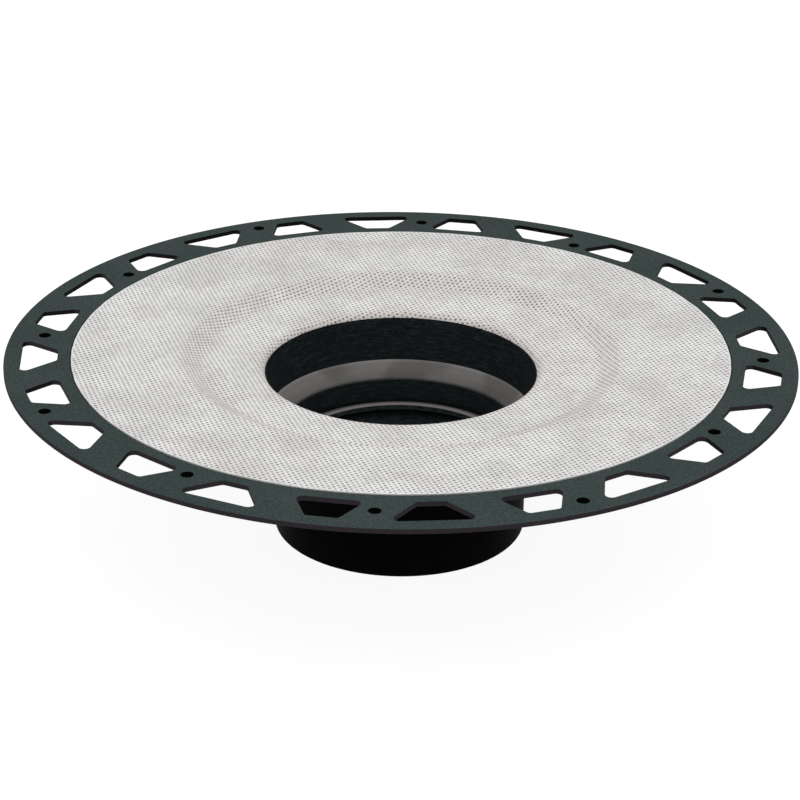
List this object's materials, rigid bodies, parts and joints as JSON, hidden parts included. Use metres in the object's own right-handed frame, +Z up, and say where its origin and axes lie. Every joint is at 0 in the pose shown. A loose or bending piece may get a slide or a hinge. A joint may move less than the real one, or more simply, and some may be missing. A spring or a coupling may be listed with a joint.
{
  "type": "bonding drain flange",
  "caption": "Round bonding flange with a perforated flat rim, a fleece-lined dish, a stepped throat and a pipe hub underneath, for a tiled shower or floor drain.",
  "frame": {"origin": "on the flange's axis, in the plane of the hub's bottom face", "axes": "+Z up along the flange's axis, from the pipe hub towards the rim; +X through the middle of a rim opening whose wide side faces outward"},
  "size_m": [0.3, 0.3, 0.073],
  "materials": {
    "deck_abs": "fine-grained green-grey moulded ABS",
    "throat_abs": "near-black moulded ABS with fine turning lines",
    "hub_abs": "black moulded ABS",
    "fleece": "off-white non-woven fleece with a fine grid of pinholes"
  },
  "bodies": {
    "root": {"flange_deck": "deck_abs", "drain_throat": "throat_abs", "outlet_hub": "hub_abs", "anchoring_fleece": "fleece"}
  },
  "joints": []
}
